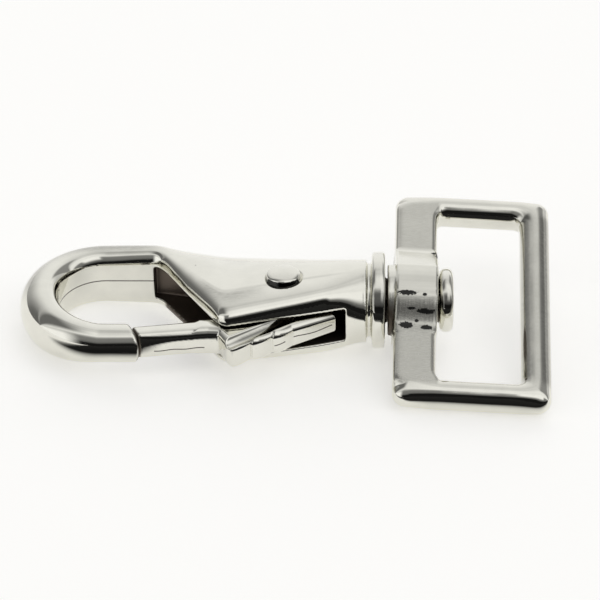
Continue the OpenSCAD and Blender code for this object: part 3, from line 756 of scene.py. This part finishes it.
def rivet_profile():
    """(radius, height) up the pin and its head: a sloping rim, a rounded shoulder and a low crown, and mirrored."""
    head_r, rim_h, lean, sweep_deg = rivet_head_d / 2, 0.58, math.radians(28), 50
    crown_r, crown_h = head_r - 0.52, 0.22
    top = []
    for i in range(33):
        t = i / 32
        if t < 0.25:
            a = t / 0.25
            top.append((head_r - 0.17 * a - 0.05 * a * a, seat_z + rim_h * a))
        elif t < 0.5:
            a = lean + math.radians(sweep_deg * (t - 0.25) / 0.25)
            top.append((head_r - 0.22 - 0.42 * (math.cos(lean) - math.cos(a)),
                        seat_z + rim_h + 0.36 * (math.sin(a) - math.sin(lean))))
        else:
            r = crown_r * (1 - (t - 0.5) / 0.5)
            top.append((max(r, 0.001), seat_z + rivet_head_h - crown_h * (r / crown_r) ** 2))
    half = [(rivet_d / 2, 0.0), (rivet_d / 2, seat_z), (head_r, seat_z)] + top
    return [(r, -z) for r, z in reversed(half)] + half


def circle(n):
    """Angles of n even steps."""
    return [2 * math.pi * i / n for i in range(n)]


rivet_rings = np.array([[(r * math.cos(a), r * math.sin(a) - pivot_y, z) for a in reversed(circle(128))]
                        for r, z in rivet_profile()])
rivet = sweep("rivet_pin", rivet_rings, BODY_TO_WORLD)
_, ring_y, ring_z = rivet_rings.reshape(-1, 3).T
# painted shade: a dark crescent low on the near side of the head's rim, kept in the same mark as the pits
near_rim = smoothstep((-(ring_y + pivot_y) / (rivet_head_d / 2) - 0.25) / 0.4)
write_mark(rivet, "pit_and_shade", near_rim * smoothstep((seat_z + 0.6 - ring_z) / 0.12) * (ring_z > 0))

coil_r = (spring_d - wire_d) / 2
end_gap = 0.04
low_y = pad_y + end_gap + wire_d / 2
high_y = float(slot_floor_y(np.float64(-spring_x))) + pocket_depth - end_gap - wire_d / 2
coil = []
per_turn = 48
steps = int(spring_turns * per_turn)
for i in range(steps + 1):
    a = 2 * math.pi * i / per_turn
    yy = low_y + (high_y - low_y) * i / steps
    coil.append([((coil_r + wire_d / 2 * math.cos(b)) * math.cos(a) - spring_x, yy - wire_d / 2 * math.sin(b),
                  (coil_r + wire_d / 2 * math.cos(b)) * math.sin(a)) for b in circle(14)])
spring = sweep("coil_spring", coil, BODY_TO_WORLD)

for ob, node, owner, mat, slot in ((body, "hook_body", "body", plate_seam, "plated_casting"),
                                   (lever, "gate_lever", "gate", plate_seam, "plated_casting"),
                                   (rivet, "gate_rivet", "body", plate, "plated_casting"),
                                   (spring, "gate_spring", "body", wire, "spring_wire"),
                                   (loop, "strap_loop", "loop", plate, "plated_casting")):
    ob.data.materials.append(mat)
    if ob is spring:
        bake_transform(ob)
    else:
        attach(ob, owner)
    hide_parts(node)

# ---------------------------------------------------------------- floor
floor_me = bpy.data.meshes.new("floor")
floor_half, floor_z = 3.0, -0.00002
floor_me.from_pydata([(x * floor_half, y * floor_half, floor_z) for x, y in ((-1, -1), (1, -1), (1, 1), (-1, 1))],
                     [], [(0, 1, 2, 3)])
floor = bpy.data.objects.new("floor", floor_me)
bpy.context.scene.collection.objects.link(floor)
fmat = bpy.data.materials.new("floor_paper")
sh = Shader(fmat)
paper = sh.nodes["Principled BSDF"]
paper.inputs["Roughness"].default_value = 0.9
paper.inputs["Specular IOR Level"].default_value = 0.1
paper.inputs["Emission Color"].default_value = (1.0, 0.995, 0.985, 1)
# mirrored in the metal, the floor is black in front of a line that steps round the housing and right of a
# slanted one, and pale elsewhere
rays = sh.nodes.new("ShaderNodeLightPath").outputs
place = sh.nodes.new("ShaderNodeSeparateXYZ")
sh.link(sh.coords["Object"], place.inputs["Vector"])
across, deep = place.outputs["X"], place.outputs["Y"]
middle = sh.math("MULTIPLY", sh.fade(across, -0.016, -0.009), sh.fade(across, 0.018, 0.011))
line = sh.math("MULTIPLY_ADD", middle, 0.0048, deep)
line = sh.math("MULTIPLY_ADD", sh.fade(across, -0.011, -0.017), -0.003, line)
aside = sh.math("MULTIPLY_ADD", deep, -0.25, across)
edge = sh.math("MULTIPLY", sh.fade(line, -0.0148, -0.0205), sh.fade(aside, -0.046, -0.026))
unlit = sh.math("MULTIPLY", edge, rays["Is Glossy Ray"])
sh.link(sh.mix(unlit, (0.90, 0.895, 0.875), (0.01, 0.01, 0.01)), paper.inputs["Base Color"])
glow = sh.math("MULTIPLY", sh.math("SUBTRACT", rays["Is Glossy Ray"], unlit), 0.42)
sh.link(sh.math("MULTIPLY_ADD", rays["Is Camera Ray"], 0.41, glow), paper.inputs["Emission Strength"])
floor_me.materials.append(fmat)

# ---------------------------------------------------------------- world
# a pale ceiling over a dark ring at the horizon, with panels; lift 0 is the front horizon, 90 overhead and
# 180 the back, and side is below 0 to the left
world = bpy.data.worlds.new("studio")
bpy.context.scene.world = world
sh = Shader(world)
sep = sh.nodes.new("ShaderNodeSeparateXYZ")
sh.link(sh.coords["Generated"], sep.inputs["Vector"])
to_front = sh.math("MULTIPLY", sep.outputs["Y"], -1)
lift = sh.math("MULTIPLY", sh.math("ARCTAN2", sep.outputs["Z"], to_front), 180 / math.pi)
side = sh.math("MULTIPLY", sh.math("ARCSINE", sep.outputs["X"]), 180 / math.pi)


def between(value, lo, hi, soft_lo, soft_hi):
    """1 where value lies from lo to hi, falling to 0 over a soft edge."""
    return sh.math("MULTIPLY", sh.fade(value, lo - soft_lo / 2, lo + soft_lo / 2),
                   sh.fade(value, hi - soft_hi / 2, hi + soft_hi / 2, 1.0, 0.0))


def card(under, bright, lifts, sides, soft_lifts, soft_sides):
    """Lays a panel of the studio, of one brightness, over what is behind it, its edges in degrees."""
    where = sh.math("MULTIPLY", between(lift, *lifts, *soft_lifts), between(side, *sides, *soft_sides))
    return sh.mix(where, under, (bright, bright, bright))


far = 400
ceiling = [(0, 0.01), (14, 0.01), (20, 0.13), (28, 0.20), (46, 0.23), (54, 0.45), (62, 0.96), (84, 1.0), (91, 0.9),
           (98, 0.74), (104, 0.80), (111, 0.70), (119, 0.80), (130, 0.86), (146, 0.96), (180, 1.0)]
sky = sh.ramp(sh.fade(lift, 0, 180, smooth=False), [(at / 180, bright) for at, bright in ceiling])
for panel in ((1.08, (34, 66), (5, 46), (22, 8), (8, 12)),
              (0.28, (102, 147), (21, far), (12, 12), (18, 1)),
              (0.60, (147, far), (36, far), (12, 1), (30, 1)),
              (0.20, (118, far), (-far, -37), (16, 1), (1, 54)),
              (0.15, (122, far), (-far, -62), (10, 1), (1, 16)),
              (0.16, (70, 116), (-far, -14), (26, 16), (1, 36)),
              (1.12, (-6, 52), (-far, -36), (24, 30), (1, 28))):
    sky = card(sky, *panel)
seen = sh.mix(sh.nodes.new("ShaderNodeLightPath").outputs["Is Camera Ray"], sky, (0.95, 0.95, 0.95))
sh.link(seen, sh.nodes["Background"].inputs["Color"])
sh.nodes["Background"].inputs["Strength"].default_value = 1.0

# ---------------------------------------------------------------- camera
elevation, azimuth, roll = math.radians(32), math.radians(-0.7), math.radians(3.5)
distance, aim_right, aim_up = 400, 1.976, 4.431     # mm
sensor_w, focal_px, photo_px = 36, 3340, 600
right = Vector((math.cos(azimuth), math.sin(azimuth), 0))
ahead = Vector((-math.sin(azimuth) * math.cos(elevation), math.cos(azimuth) * math.cos(elevation),
                -math.sin(elevation)))
up = right.cross(ahead)
cam_x = right * math.cos(roll) + up * math.sin(roll)
cam_y = -right * math.sin(roll) + up * math.cos(roll)
cam_data = bpy.data.cameras.new("camera")
cam = bpy.data.objects.new("camera", cam_data)
bpy.context.scene.collection.objects.link(cam)
turned = Matrix((cam_x, cam_y, -ahead)).transposed()
spot = (cam_x * aim_right + cam_y * aim_up - ahead * distance) * MM
cam.matrix_world = Matrix.Translation(spot) @ turned.to_4x4()
cam_data.sensor_width = sensor_w
cam_data.lens = focal_px / photo_px * sensor_w
cam_data.clip_start, cam_data.clip_end = 0.01, 20
bpy.context.scene.camera = cam
bpy.context.scene.view_settings.view_transform = "Standard"
